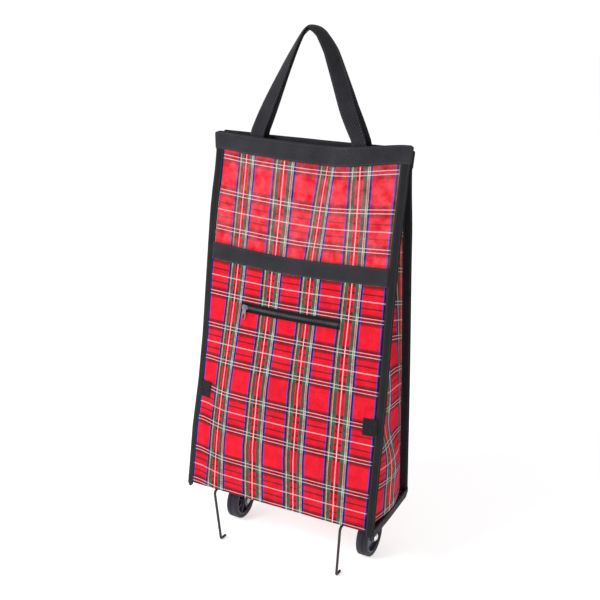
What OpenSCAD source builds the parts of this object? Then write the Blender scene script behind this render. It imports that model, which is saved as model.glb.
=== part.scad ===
// Folding shopping trolley: a tall cloth bag with a wedge-shaped side profile,
// standing on two small wheels at the middle and two wire legs at the front edge.
// The origin is on the floor under the middle of the bag, +Z is up and -Y is the front.

/* [Bag] */
// Width of the bag across its bound side edges
bag_width = 300; // [240:1:380]
// Height of the bag from its bottom to its mouth
bag_height = 535; // [440:1:660]
// Depth of the bag at its bottom
bag_depth = 140; // [112:1:180]
// Distance between the outsides of the front and the back at the mouth
mouth_gap = 15; // [14:0.5:24]
// Height of the bag's bottom above the floor
base_z = 88; // [70:1:120]
// Thickness of the tartan cloth
cloth_t = 0.8; // [0.5:0.1:1.1]
// How far the side gussets bulge outwards at the bottom
gusset_bulge = 11; // [6:0.5:12]
// How far the side gussets fold inwards at the mouth
gusset_fold = 45; // [20:1:50]

/* [Webbing and binding] */
// Width of the webbing bands across the front
band_w = 25; // [18:1:32]
// Thickness of the webbing
web_t = 1.6; // [1:0.1:2]
// Width of the folded tape that binds the edges
tape_w = 13.2; // [10:0.2:16]
// Thickness of the folded tape over its seam
tape_t = 3.6; // [2.8:0.1:4.2]
// Distance from the mouth down to the lower band
mid_band_drop = 158.5; // [120:0.5:180]
// Width of the hook-and-loop squares
hook_w = 18; // [12:1:24]
// Distance from the mouth down to the middle of the hook-and-loop squares
hook_drop = 383; // [320:1:410]

/* [Pocket and zip] */
// Air gap behind the pocket cloth
pocket_gap = 0.8; // [0.7:0.1:1.4]
// Distance from the mouth down to the zip's centre line
zip_drop = 245.5; // [215:0.5:270]
// Length of the zip opening
zip_len = 156; // [110:1:180]
// Height of the zip opening
zip_open_h = 14.5; // [13:0.5:20]
// Distance from the bag's left side to the zip opening
zip_inset = 68; // [40:1:70]
// Length of the slider
slider_len = 10; // [8:0.5:13]
// Length of the pull tab
pull_len = 22; // [16:1:30]
// Width of the pull tab
pull_w = 6.5; // [5:0.5:9]
// Radius of the post that the pull tab swings on
pull_post_r = 1.3; // [1:0.1:1.6]

/* [Base board and fixings] */
// Thickness of the stiffening board
board_t = 3; // [2:0.5:5]
// Gap between the board's edge and the cloth
board_edge = 4.5; // [4:0.5:10]
// Radius of the rivet shanks
rivet_r = 2; // [1.5:0.1:2.4]
// Radius of the rivet heads
rivet_head_r = 4; // [3:0.1:4.4]
// Thickness of the rivet heads
rivet_head_t = 1.4; // [1:0.1:2]
// Radial play of rivets in their holes
rivet_play = 0.05; // [0.02:0.01:0.1]

/* [Wheels] */
// Radius of the wheels
wheel_r = 31; // [24:0.5:38]
// Width of the wheels
wheel_w = 18.2; // [14:0.2:24]
// Distance from the bag's side to the outer face of a wheel
wheel_inset = 27.6; // [22:0.2:40]
// Distance of the axle behind the bag's middle
axle_y = 13.3; // [0:0.1:20]
// Radial height of the tyre
tyre_h = 6; // [4:0.5:9]
// Radius of the axles
axle_r = 3; // [2.5:0.1:4]
// Radius of the bushes
bush_r = 4.6; // [4.4:0.1:6]
// Radial play between axle and bush
axle_play = 0.05; // [0.02:0.01:0.1]
// Thickness of the bracket plate
bracket_t = 2; // [1.5:0.1:3]
// Length of the bracket along the bag's side edge
bracket_len = 38; // [34:1:50]
// Reach of the bracket's foot under the base
bracket_foot = 26; // [20:1:34]

/* [Legs] */
// Radius of the leg wire
wire_r = 2; // [1.5:0.1:2.5]
// Distance from the bag's left side to the left leg's pivot
left_leg_inset = 40.2; // [35:0.1:60]
// Distance from the bag's right side to the right leg's pivot
right_leg_inset = 47.5; // [35:0.1:60]
// Inward lean of the left leg at its stop, in degrees
left_leg_lean = 5.5; // [0:0.1:8]
// Inward lean of the right leg at its stop, in degrees
right_leg_lean = 3.8; // [0:0.1:8]
// Backward rake of the legs, in degrees
leg_rake = 4; // [0:0.1:6]
// Bend radius at the top of the leg
leg_bend_r = 6; // [4:0.5:9]
// Bend radius at the foot
foot_bend_r = 3.5; // [3:0.5:6]
// Length of the hooked foot
foot_len = 13; // [9:0.5:18]
// Length of wire held under the base
leg_run = 52; // [50:1:58]
// Length of the turned-down end behind the clip
leg_tail = 5; // [3:0.5:8]

/* [Handles] */
// Width of the handle webbing
handle_w = 22; // [18:1:26]
// Distance between the two ends of a handle
handle_span = 157; // [125:1:190]
// Height of the front handle above the mouth
handle_rise = 153; // [110:1:200]
// Sideways shift of the handles' top
handle_shift = -6; // [-12:1:12]
// Roundness of the handles' top
handle_round = 16; // [10:1:24]

/* [Hidden] */
$fn = 48;

half_w = bag_width / 2;
half_d = bag_depth / 2;
side_run = half_d - mouth_gap / 2;            // how far a panel leans in over its height
lean = atan(side_run / bag_height);
panel_len = sqrt(side_run * side_run + bag_height * bag_height);
top_z = base_z + bag_height;
cloth_half = half_w - tape_w;                 // half width of the cloth between the bindings
gap = 0.2;                                    // play between pieces that lie on each other
tiny = 0.05;                                  // play between stacked layers
lap = 0.04;                                   // how far a wire's joining balls stand proud
front_in = 2 * cloth_t + pocket_gap;          // inner face of the front cloth
tape_in = tape_t - 0.6;                       // inner face of the binding
inner_half = half_d - tape_in / cos(lean) - 2 * gap;   // half depth of the bottom cloth
flange_t = 3.2;                               // thickness of the bottom binding
flange_drop = 7;                              // how far it hangs below the bottom
flange_rise = 6;                              // and stands above it

// zip sizes
zip_v = panel_len - zip_drop;
zip_x0 = -half_w + zip_inset;
zip_x1 = zip_x0 + zip_len;
coil_h = 4.5;
coil_w0 = -cloth_t - tiny;
coil_w1 = 1;
tape_zip_t = 0.5;
zip_tape_h = 12;
slider_gap = 0.35;
slider_h = coil_h + 2 * slider_gap + 3.2;
slider_w1 = coil_w1 + slider_gap + 1.5;
stop_len = 1.4;
slider_x0 = zip_x0 + stop_len + 0.8;
slider_mid = slider_x0 + slider_len / 2;
pull_t = 1.4;
pull_w0 = slider_w1 + 0.3;
post_head_w = pull_w0 + pull_t + 0.3;

// wheel and bracket sizes
wheel_out = half_w - wheel_inset;
wheel_in = wheel_out - wheel_w;
washer_t = 1;
washer_gap = 0.1;
arm_out = wheel_in - washer_t - 2 * washer_gap;
cap_in = wheel_out + 0.6;
cap_t = 4;
tyre_in = wheel_r - tyre_h;
board_top = base_z + cloth_t + gap + board_t;
sunk_head_t = min(rivet_head_t, board_t / 2); // rivet heads lie below the board's surface
head_seat = board_top - sunk_head_t - gap;

// leg sizes
pivot_z = base_z - wire_r - 0.3;
leg_left_x = -half_w + left_leg_inset;
leg_right_x = half_w - right_leg_inset;
leg_y = -half_d + leg_bend_r - 2.5;           // where the run starts, behind the top bend
clip_t = 1.1;
clip_len = 34;
clip_play = 0.06;
clip_y0 = leg_y + leg_bend_r + 4;
clip_wing = 9;

// handle sizes
hinge_z = top_z + 6;
handle_y = mouth_gap / 2 - front_in - gap - web_t / 2;
handle_y_back = mouth_gap / 2 - cloth_t - gap - web_t / 2;
handle_x = handle_span / 2;
sewn_len = band_w - 1;
loop_gap = 3;                                 // spacing of the two handles at their top

// A block on a leaning panel: x across, v up the panel, w outwards from its outer face
module slab(x0, x1, v0, v1, w0, w1) {
    translate([x0, -w1, v0]) cube([x1 - x0, w1 - w0, v1 - v0]);
}

// Places what is drawn in panel directions on the front or the back of the bag
module on_front() { translate([0, -half_d, base_z]) rotate([-lean, 0, 0]) children(); }
module on_back() { mirror([0, 1, 0]) on_front() children(); }

// Half depth of the bag at a height
function half_at(z) = half_d - (z - base_z) * side_run / bag_height;

// One closed skin through rings of points that all have the same number of points. The
// first half of a ring is one face of the cloth and the second half is the other, so the
// diagonals of the second half turn over and both faces bend alike
module skin(rings) {
    n = len(rings[0]);
    m = len(rings);
    t = (m - 1) * n;                          // first point of the last ring
    polyhedron(
        points = [for (r = rings) each r],
        faces = concat(
            [for (i = [0 : n / 2 - 2]) each
                [[i, i + 1, n - 2 - i], [i, n - 2 - i, n - 1 - i]]],
            [for (k = [0 : m - 2], i = [0 : n - 1]) each
                let (a = k * n + i, b = k * n + (i + 1) % n)
                i < n / 2 ? [[a, b + n, b], [a, a + n, b + n]]
                    : [[a, a + n, b], [a + n, b + n, b]]],
            [for (i = [0 : n / 2 - 2]) each
                [[t + n - 2 - i, t + i + 1, t + i], [t + n - 1 - i, t + n - 2 - i, t + i]]]));
}

// ---------- cloth panels ----------

module front_panel() {
    color("#c81e34") on_front()
        slab(-cloth_half + gap, cloth_half - gap, 0, panel_len, -front_in, -front_in + cloth_t);
}

module pocket_panel() {
    color("#d8243a") on_front() difference() {
        slab(-cloth_half + gap, cloth_half - gap, 0, panel_len - mid_band_drop - 4, -cloth_t, 0);
        slab(zip_x0, zip_x1, zip_v - zip_open_h / 2, zip_v + zip_open_h / 2, -cloth_t - 1, 1);
    }
}

module back_panel() {
    color("#c81e34") on_back()
        slab(-cloth_half + gap, cloth_half - gap, 0, panel_len, -cloth_t, 0);
}

// The bottom has holes for the rivets of the brackets and leg clips
module bottom_panel() {
    color("#b01a2e") difference() {
        translate([-half_w + flange_t + 1, -inner_half, base_z])
            cube([bag_width - 2 * flange_t - 2, inner_half * 2, cloth_t]);
        rivet_holes(base_z - 1, cloth_t + 2);
    }
}

// Outline of a gusset at height z: bulging out near the bottom, folded in near the mouth
function fold_at(z) =
    let (s = max(0, (z - base_z) / bag_height))
    -gusset_bulge + (gusset_bulge + gusset_fold) * pow(s, 1.3);
function fold_power(z) = 2 + 1.6 * (z - base_z) / bag_height;
function gusset_xy(z, s) =
    let (g = half_at(z) - tape_in - 0.6 - cloth_t / 2, u = sin(90 * s))
    [cloth_half + 1 - fold_at(z) * (1 - pow(abs(u), fold_power(z))), g * u];
function unit2(v) = v / norm(v);
function gusset_edge(z, s, off) =
    let (t = unit2(gusset_xy(z, min(1, s + 0.01)) - gusset_xy(z, max(-1, s - 0.01))))
    gusset_xy(z, s) + off * [t[1], -t[0]];
gusset_steps = 14;
function gusset_ring(z, thick) = concat(
    [for (i = [0 : gusset_steps]) let (p = gusset_edge(z, 2 * i / gusset_steps - 1, thick / 2))
        [p[0], p[1], z]],
    [for (i = [gusset_steps : -1 : 0]) let (p = gusset_edge(z, 2 * i / gusset_steps - 1, -thick / 2))
        [p[0], p[1], z]]);
module gusset_wall(z0, z1, steps, thick) {
    skin([for (k = [0 : steps]) gusset_ring(z0 + (z1 - z0) * k / steps, thick)]);
}

gusset_z0 = base_z + flange_rise + gap;
hem_z0 = top_z - band_w;
module gusset() { gusset_wall(gusset_z0, hem_z0 - tiny, 12, cloth_t); }
module gusset_hem() { gusset_wall(hem_z0, top_z + 2.5, 2, cloth_t * 1.5); }

module gusset_right() { color("#b81a30") gusset(); }
module gusset_left() { color("#b81a30") mirror([1, 0, 0]) gusset(); }
module gusset_hem_right() { color("#26262a") gusset_hem(); }
module gusset_hem_left() { color("#26262a") mirror([1, 0, 0]) gusset_hem(); }

// ---------- bindings and bands ----------

// Folded tape down the front edge, along the bottom edge and up the back edge
module binding() {
    on_front() slab(cloth_half, half_w, -flange_drop, panel_len, -tape_in, tape_t - tape_in);
    on_back() slab(cloth_half, half_w, -flange_drop, panel_len, -tape_in, tape_t - tape_in);
    translate([half_w - flange_t, -half_d + 1, base_z - flange_drop])
        cube([flange_t, bag_depth - 2, flange_drop + flange_rise]);
}
module binding_right() { color("#1c1c20") binding(); }
module binding_left() { color("#1c1c20") mirror([1, 0, 0]) binding(); }

module band(v0, w0) {
    slab(-cloth_half + gap, cloth_half - gap, v0, v0 + band_w, w0, w0 + web_t);
}
module top_band_front() {
    color("#26262a") on_front() band(panel_len - band_w, -front_in + cloth_t + tiny);
}
module top_band_back() { color("#26262a") on_back() band(panel_len - band_w, tiny); }
module mid_band() { color("#26262a") on_front() band(panel_len - mid_band_drop - band_w, tiny); }

module hook_square(side) {
    x0 = side > 0 ? cloth_half - gap - hook_w : -cloth_half + gap;
    on_front() slab(x0, x0 + hook_w, panel_len - hook_drop - band_w / 2,
        panel_len - hook_drop + band_w / 2, tiny, tiny + web_t);
}
module hook_square_left() { color("#202024") hook_square(-1); }
module hook_square_right() { color("#202024") hook_square(1); }

// ---------- zip ----------

module zip_tape(v0) {
    slab(zip_x0 - 4, zip_x1 + 4, v0, v0 + zip_tape_h, coil_w0 - tape_zip_t, coil_w0);
}
module zip_tape_upper() { color("#1c1c20") on_front() zip_tape(zip_v + 0.4); }
module zip_tape_lower() { color("#1c1c20") on_front() zip_tape(zip_v - 0.4 - zip_tape_h); }
module zip_teeth() {
    color("#101014") on_front() slab(zip_x0 + stop_len + 0.4, zip_x1 - stop_len - 0.4,
        zip_v - coil_h / 2, zip_v + coil_h / 2, coil_w0 + tiny, coil_w1);
}
module zip_stops() {
    color("#3a3a40") on_front() for (x = [zip_x0 + 0.3, zip_x1 - 0.3 - stop_len])
        slab(x, x + stop_len, zip_v - coil_h / 2 - 0.6, zip_v + coil_h / 2 + 0.6,
            coil_w0 + tiny, coil_w1 + 0.4);
}

// The slider straddles the teeth and carries a headed post for the pull tab
module zip_slider() {
    color("#2c2c32") on_front() {
        difference() {
            slab(slider_x0, slider_x0 + slider_len, zip_v - slider_h / 2, zip_v + slider_h / 2,
                coil_w0 + slider_gap, slider_w1);
            slab(slider_x0 - 1, slider_x0 + slider_len + 1, zip_v - coil_h / 2 - slider_gap,
                zip_v + coil_h / 2 + slider_gap, coil_w0 - 1, coil_w1 + slider_gap);
        }
        translate([slider_mid, -slider_w1 + 0.2, zip_v]) rotate([90, 0, 0])
            cylinder(h = post_head_w + 0.9 - slider_w1 + 0.2, r = pull_post_r);
        translate([slider_mid, -post_head_w, zip_v]) rotate([90, 0, 0])
            cylinder(h = 0.9, r = pull_post_r + 0.9);
    }
}
module zip_pull() {
    color("#2c2c32") on_front() translate([slider_mid, -pull_w0, zip_v]) rotate([90, 0, 0])
        difference() {
            union() {
                cylinder(h = pull_t, r = pull_w / 2);
                translate([-pull_w / 2, -pull_len + pull_w, 0])
                    cube([pull_w, pull_len - pull_w, pull_t]);
                translate([0, -pull_len + pull_w, 0]) cylinder(h = pull_t, r = pull_w / 2);
            }
            translate([0, 0, -1]) cylinder(h = pull_t + 2, r = pull_post_r + 0.06);
            translate([0, -pull_len + pull_w, -1]) cylinder(h = pull_t + 2, r = pull_w / 4);
        }
}

// ---------- base ----------

function bracket_rivet_spots() = [for (sx = [-1, 1], dy = [-1, 1])
    [sx * (arm_out - bracket_t - bracket_foot / 2), axle_y + dy * (bracket_len / 2 - 7)]];
function clip_rivet_spots() = [for (x = [leg_left_x, leg_right_x], sx = [-1, 1], t = [0, 1])
    [x + sx * (wire_r + clip_t + clip_wing / 2), clip_y0 + 5 + t * (clip_len - 10)]];

module rivet_holes(z, h) {
    for (p = concat(bracket_rivet_spots(), clip_rivet_spots()))
        translate([p[0], p[1], z]) cylinder(h = h, r = rivet_r + rivet_play);
}

module base_board() {
    color("#6d6154") difference() {
        translate([-cloth_half + board_edge, -inner_half + board_edge, board_top - board_t])
            cube([2 * (cloth_half - board_edge), 2 * (inner_half - board_edge), board_t]);
        rivet_holes(board_top - board_t - 1, board_t + 2);
        for (p = concat(bracket_rivet_spots(), clip_rivet_spots()))
            translate([p[0], p[1], head_seat])
                cylinder(h = sunk_head_t + 1, r = rivet_head_r + rivet_play);
    }
}

// A rivet from the underside of a plate up to its sunk head in the board
module rivet(p, plate_z) {
    translate([p[0], p[1], plate_z - rivet_head_t - tiny]) cylinder(h = rivet_head_t, r = rivet_head_r);
    translate([p[0], p[1], plate_z - rivet_head_t])
        cylinder(h = head_seat + tiny + rivet_head_t - plate_z, r = rivet_r);
    translate([p[0], p[1], head_seat + tiny]) cylinder(h = sunk_head_t, r = rivet_head_r);
}
module bracket_rivets() {
    color("silver") for (p = bracket_rivet_spots()) rivet(p, base_z - tiny - bracket_t);
}
module clip_rivets() {
    color("silver") for (p = clip_rivet_spots()) rivet(p, base_z - tiny - clip_t);
}

// ---------- wheels, on the right side; the left is the mirror image ----------

module along_x(x) { translate([x, axle_y, wheel_r]) rotate([0, 90, 0]) children(); }

// Pressed angle: a foot under the base and an arm down to the axle
module bracket() {
    foot_z = base_z - tiny - bracket_t;
    arm_x = arm_out - bracket_t;
    difference() {
        translate([arm_x - bracket_foot, axle_y - bracket_len / 2, foot_z])
            cube([bracket_foot + bracket_t, bracket_len, bracket_t]);
        rivet_holes(foot_z - 1, bracket_t + 2);
    }
    difference() {
        translate([arm_x, 0, 0]) rotate([90, 0, 90]) linear_extrude(bracket_t) hull() {
            translate([axle_y, wheel_r]) circle(r = axle_r + 6);
            translate([axle_y - bracket_len / 2, foot_z]) square([bracket_len, bracket_t]);
        }
        along_x(arm_x - 1) cylinder(h = bracket_t + 2, r = axle_r);
    }
    for (s = [-1, 1]) translate([arm_x, axle_y + s * (bracket_len / 2 - 1) + 1, foot_z])
        rotate([90, 0, 0]) linear_extrude(2) polygon([[0, 0], [-14, 0], [0, -14]]);
}
module axle() {
    along_x(arm_out - bracket_t) cylinder(h = cap_in + cap_t - 1 - arm_out + bracket_t, r = axle_r);
    along_x(arm_out - bracket_t - 2) cylinder(h = 2, r = axle_r + 2.2);
}
module axle_washer() {
    along_x(arm_out + washer_gap) difference() {
        cylinder(h = washer_t, r = axle_r + 3.6);
        translate([0, 0, -1]) cylinder(h = washer_t + 2, r = axle_r + axle_play);
    }
}
// Domed push-on cap over the axle's end
module axle_cap() {
    along_x(cap_in) difference() {
        rotate_extrude() polygon(concat([[0, 0], [axle_r + 3.4, 0], [axle_r + 3.4, 1.2]],
            [for (a = [0 : 15 : 90]) [(axle_r + 2.6) * cos(a), 1.2 + (cap_t - 1.2) * sin(a)]]));
        translate([0, 0, -1]) cylinder(h = cap_t, r = axle_r);
    }
}

// Tyre with rounded shoulders and a groove round its middle
module tyre() {
    e = 2.2;
    along_x(wheel_in) rotate_extrude($fn = 72) difference() {
        union() {
            translate([tyre_in, 0]) square([tyre_h - e, wheel_w]);
            translate([tyre_in, e]) square([tyre_h, wheel_w - 2 * e]);
            for (z = [e, wheel_w - e]) translate([wheel_r - e, z]) circle(r = e, $fn = 24);
        }
        translate([wheel_r - 0.8, wheel_w * 0.56]) square([2, 1.6]);
    }
}

// Rim: a band, a web near the outer face, a hub and spoke ribs on the inner side
module wheel_rim() {
    rim_in = tyre_in - 2.5;
    hub_r = bush_r + 3.4;
    inset = 1.4;
    web_t0 = wheel_w * 0.62;
    along_x(wheel_in) {
        rotate_extrude() {
            translate([rim_in, inset / 2]) square([tyre_in - rim_in, wheel_w - inset]);
            translate([bush_r, inset / 2]) square([hub_r - bush_r, wheel_w - inset]);
            polygon([[hub_r - 0.5, web_t0], [rim_in + 0.5, web_t0 - 2],
                [rim_in + 0.5, web_t0 + 0.6], [hub_r - 0.5, web_t0 + 2.6]]);
        }
        for (a = [0 : 45 : 315]) rotate(a + 22.5)
            translate([hub_r - 0.5, -0.8, inset + 1]) cube([rim_in - hub_r + 1, 1.6, web_t0 - 2 - inset]);
    }
}
module wheel_bush() {
    along_x(wheel_in) difference() {
        cylinder(h = wheel_w, r = bush_r);
        translate([0, 0, -1]) cylinder(h = wheel_w + 2, r = axle_r + axle_play);
    }
}

module bracket_right() { color("#2a2a2e") bracket(); }
module bracket_left() { color("#2a2a2e") mirror([1, 0, 0]) bracket(); }
module axle_right() { color("silver") axle(); }
module axle_left() { color("silver") mirror([1, 0, 0]) axle(); }
module axle_washers() { color("silver") { axle_washer(); mirror([1, 0, 0]) axle_washer(); } }
module axle_cap_right() { color("gainsboro") axle_cap(); }
module axle_cap_left() { color("gainsboro") mirror([1, 0, 0]) axle_cap(); }
module tyre_right() { color("#303036") tyre(); }
module tyre_left() { color("#303036") mirror([1, 0, 0]) tyre(); }
module wheel_rim_right() { color("#3c3c44") wheel_rim(); }
module wheel_rim_left() { color("#3c3c44") mirror([1, 0, 0]) wheel_rim(); }
module wheel_bush_right() { color("#e8e4d8") wheel_bush(); }
module wheel_bush_left() { color("#e8e4d8") mirror([1, 0, 0]) wheel_bush(); }

// ---------- legs ----------

// Bent wire hung from its pivot run, which lies along +Y from the local origin.  The bend at
// the top is followed by the upright and a hooked foot that turns backwards along the floor.
// The back end turns down so that the wire can't slide out of its clip.  A ball at the end of
// each bend joins it to the straight wire.
module wire_ball() { sphere(r = wire_r + lap); }
module leg_wire(turn) {
    foot_z = -(pivot_z - wire_r) / cos(turn);
    up_y = -leg_bend_r * cos(leg_rake);
    up_z = -leg_bend_r * (1 + sin(leg_rake));
    up_len = (up_z - foot_z - foot_bend_r * (1 - sin(leg_rake))) / cos(leg_rake);
    rotate([-90, 0, 0]) cylinder(h = leg_run - foot_bend_r, r = wire_r);
    wire_ball();
    translate([0, leg_run - foot_bend_r, 0]) {
        wire_ball();
        translate([0, 0, -foot_bend_r]) rotate([90, 0, 90])
            rotate_extrude(angle = 90) translate([foot_bend_r, 0]) circle(r = wire_r, $fn = 32);
        translate([0, foot_bend_r, -foot_bend_r]) {
            wire_ball();
            rotate([180, 0, 0]) cylinder(h = leg_tail, r = wire_r);
        }
    }
    translate([0, 0, -leg_bend_r]) rotate([0, -90, 0]) rotate([180, 0, 0])
        rotate_extrude(angle = 90 + leg_rake) translate([leg_bend_r, 0]) circle(r = wire_r, $fn = 32);
    translate([0, up_y, up_z]) rotate([180 + leg_rake, 0, 0]) {
        wire_ball();
        cylinder(h = up_len, r = wire_r);
        translate([0, 0, up_len]) wire_ball();
        translate([0, -foot_bend_r, up_len]) {
            rotate([90, 0, 90]) rotate_extrude(angle = 90 - leg_rake)
                translate([foot_bend_r, 0]) circle(r = wire_r, $fn = 32);
            rotate([90 - leg_rake, 0, 0]) translate([0, foot_bend_r, 0]) {
                wire_ball();
                cylinder(h = foot_len - foot_bend_r, r = wire_r);
            }
        }
    }
}
module at_leg(x, turn) { translate([x, leg_y, pivot_z]) rotate([0, turn, 0]) children(); }

module leg_left() { color("#1e1e24") at_leg(leg_left_x, -left_leg_lean) leg_wire(left_leg_lean); }
module leg_right() { color("#1e1e24") at_leg(leg_right_x, right_leg_lean) leg_wire(right_leg_lean); }

// Pressed clip: a half tube round the wire with a wing on each side
module leg_clip(x) {
    wing_z = base_z - tiny - clip_t;
    ring = wire_r + clip_play;
    difference() {
        union() {
            translate([x, clip_y0, pivot_z]) rotate([-90, 0, 0])
                cylinder(h = clip_len, r = ring + clip_t);
            translate([x - ring - clip_t - clip_wing, clip_y0, wing_z])
                cube([2 * (ring + clip_t + clip_wing), clip_len, clip_t]);
            translate([x - ring - clip_t, clip_y0, pivot_z])
                cube([2 * (ring + clip_t), clip_len, wing_z + clip_t - pivot_z]);
        }
        translate([x, clip_y0 - 1, pivot_z]) rotate([-90, 0, 0]) cylinder(h = clip_len + 2, r = ring);
        translate([x - ring, clip_y0 - 1, pivot_z]) cube([2 * ring, clip_len + 2, base_z]);
        translate([x - 20, clip_y0 - 1, base_z - tiny]) cube([40, clip_len + 2, 20]);
        rivet_holes(wing_z - 1, clip_t + 2);
    }
}
module leg_clip_left() { color("#8a8a90") leg_clip(leg_left_x); }
module leg_clip_right() { color("#8a8a90") leg_clip(leg_right_x); }

// ---------- handles ----------

// A strap of webbing up from one end, over the top and down to the other, turning edge-on
// as it nears the top.  t runs from -1 at the left end to 1 at the right end.
loop_z0 = hinge_z - 2;
function loop_k(drop) = drop / (sqrt(handle_x * handle_x + handle_round * handle_round) - handle_round);
function loop_point(t, y0, lower) =
    let (a = abs(t), x = sign(t) * (handle_x - lower * (1 - a)) * pow(a, 1.25),
        top = top_z + handle_rise - web_t / 2 - lower,
        k = loop_k(top - loop_z0))
    [x + handle_shift * (1 - a * a), y0 * (loop_gap / 2 / abs(y0) * (1 - pow(a, 1.2)) + pow(a, 1.2)),
        top - k * (sqrt(x * x + handle_round * handle_round) - handle_round)];
function unit3(v) = v / norm(v);
function loop_ring(t, y0, lower, shade) =
    let (p = loop_point(t, y0, lower),
        run = unit3(loop_point(min(1, t + 0.02), y0, lower) - loop_point(max(-1, t - 0.02), y0, lower)),
        turn = 90 * (1 - abs(t)),
        square_end = pow(abs(t), 6),
        out = unit3((1 - square_end) * unit3([-run[2], 0, run[0]]) + square_end * [sign(t), 0, 0]),
        wide = unit3(cos(turn) * out + sin(turn) * [0, 1, 0]),
        thick = unit3(cross(run, wide)))
    [for (c = [[-1, -1], [1, -1], [1, 1], [-1, 1]])
        p + c[0] * handle_w / 2 * wide + c[1] * shade / 2 * thick];
module handle_loop(y0, lower) {
    steps = 30;
    skin([for (i = [0 : steps]) loop_ring(2 * i / steps - 1, y0, lower, web_t)]);
}
module handle_front() { color("#26262a") handle_loop(-handle_y, 0); }
module handle_back() { color("#222226") handle_loop(handle_y_back, loop_gap); }

// The sewn ends inside the mouth
module sewn_ends(w1) {
    for (s = [-1, 1]) slab(s * handle_x - handle_w / 2, s * handle_x + handle_w / 2,
        panel_len - sewn_len, panel_len, w1 - web_t, w1);
}
module handle_ends_front() { color("#26262a") on_front() sewn_ends(-front_in - tiny); }
module handle_ends_back() { color("#26262a") on_back() sewn_ends(-cloth_t - tiny); }

front_panel();
pocket_panel();
back_panel();
bottom_panel();
gusset_left();
gusset_right();
gusset_hem_left();
gusset_hem_right();
binding_left();
binding_right();
top_band_front();
top_band_back();
mid_band();
zip_tape_upper();
zip_tape_lower();
zip_teeth();
zip_stops();
zip_slider();
zip_pull();
hook_square_left();
hook_square_right();
base_board();
bracket_left();
bracket_right();
bracket_rivets();
axle_left();
axle_right();
axle_washers();
axle_cap_left();
axle_cap_right();
tyre_left();
tyre_right();
wheel_rim_left();
wheel_rim_right();
wheel_bush_left();
wheel_bush_right();
leg_clip_left();
leg_clip_right();
clip_rivets();
leg_left();
leg_right();
handle_front();
handle_back();
handle_ends_front();
handle_ends_back();
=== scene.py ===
"""Looks of the folding shopping trolley: tartan cloth, webbing, zip, wheels and wire legs."""

import math

import bmesh
import bpy
from mathutils import Matrix, Vector, noise


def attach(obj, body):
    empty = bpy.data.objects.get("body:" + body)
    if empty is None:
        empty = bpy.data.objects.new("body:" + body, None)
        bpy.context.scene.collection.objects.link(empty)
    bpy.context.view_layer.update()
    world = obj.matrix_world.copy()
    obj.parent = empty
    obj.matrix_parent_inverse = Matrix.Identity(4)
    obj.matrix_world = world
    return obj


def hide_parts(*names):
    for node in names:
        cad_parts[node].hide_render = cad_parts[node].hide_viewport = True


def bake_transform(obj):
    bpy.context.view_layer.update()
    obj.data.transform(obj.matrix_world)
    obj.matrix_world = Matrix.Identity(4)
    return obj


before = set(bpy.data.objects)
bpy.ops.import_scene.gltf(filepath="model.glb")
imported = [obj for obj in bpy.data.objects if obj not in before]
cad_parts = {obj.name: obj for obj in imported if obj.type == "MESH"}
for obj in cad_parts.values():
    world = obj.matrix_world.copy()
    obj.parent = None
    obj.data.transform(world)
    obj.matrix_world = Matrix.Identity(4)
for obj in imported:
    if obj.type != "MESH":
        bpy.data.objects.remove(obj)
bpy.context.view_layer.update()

# ---------- sizes of the bag, in metres ----------

HALF_W, HALF_D, BASE_Z, HEIGHT, MOUTH = 0.150, 0.070, 0.088, 0.535, 0.0075
LEAN = math.atan2(HALF_D - MOUTH, HEIGHT)
PANEL = math.hypot(HALF_D - MOUTH, HEIGHT)
TOP_Z = BASE_Z + HEIGHT
CLOTH_HALF = 0.1368
BAND_W, WEB_T, CLOTH_T = 0.025, 0.0016, 0.0008
MID_DROP, HOOK_DROP, HOOK_W = 0.1585, 0.383, 0.018
ZIP_DOWN, ZIP_X0, ZIP_X1, ZIP_OPEN = 0.2455, -0.082, 0.074, 0.0145
HANDLE_W, HANDLE_X, HANDLE_RISE, HANDLE_SHIFT = 0.022, 0.0785, 0.153, -0.006
HANDLE_ROUND, LOOP_GAP, HINGE_Z = 0.016, 0.003, 0.629


def smooth(t):
    t = min(1.0, max(0.0, t))
    return t * t * (3 - 2 * t)


def between(x, stops):
    """Straight-line value at x through (place, value) stops."""
    if x <= stops[0][0]:
        return stops[0][1]
    for (a, p), (b, q) in zip(stops, stops[1:]):
        if x <= b:
            return p + (q - p) * (x - a) / (b - a)
    return stops[-1][1]


def spread(a, b, count, marks=()):
    """Even steps from a to b, with the marks among them."""
    steps = [a + (b - a) * k / count for k in range(count + 1)]
    gap = abs(b - a) / count * 0.45
    steps = [s for s in steps if all(abs(s - m) > gap for m in marks) or s in (a, b)]
    return sorted(steps + list(marks))


# ---------- node materials ----------


class Wire:
    """A node's output; sums and products of wires add Math nodes."""

    def __init__(self, paint, socket):
        self.paint, self.socket = paint, socket

    def math(self, kind, *values, clamp=False):
        return self.paint.node(
            "ShaderNodeMath", {"operation": kind, "use_clamp": clamp}, dict(enumerate(values))
        )

    def __add__(self, other):
        return self.math("ADD", self, other)

    def __sub__(self, other):
        return self.math("SUBTRACT", self, other)

    def __rsub__(self, other):
        return self.math("SUBTRACT", other, self)

    def __mul__(self, other):
        return self.math("MULTIPLY", self, other)

    def __truediv__(self, other):
        return self.math("DIVIDE", self, other)

    __radd__, __rmul__ = __add__, __mul__

    def wrap(self, period):
        return self.math("FLOORED_MODULO", self, period)

    def size(self):
        return self.math("ABSOLUTE", self)

    def wave(self, period):
        """From 0 to 1 and back once in each period."""
        return self.math("SINE", self * (2 * math.pi / period)) * 0.5 + 0.5

    def step(self, low, high):
        """0 below low, 1 above high."""
        return self.math("DIVIDE", self - low, high - low, clamp=True)


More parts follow.
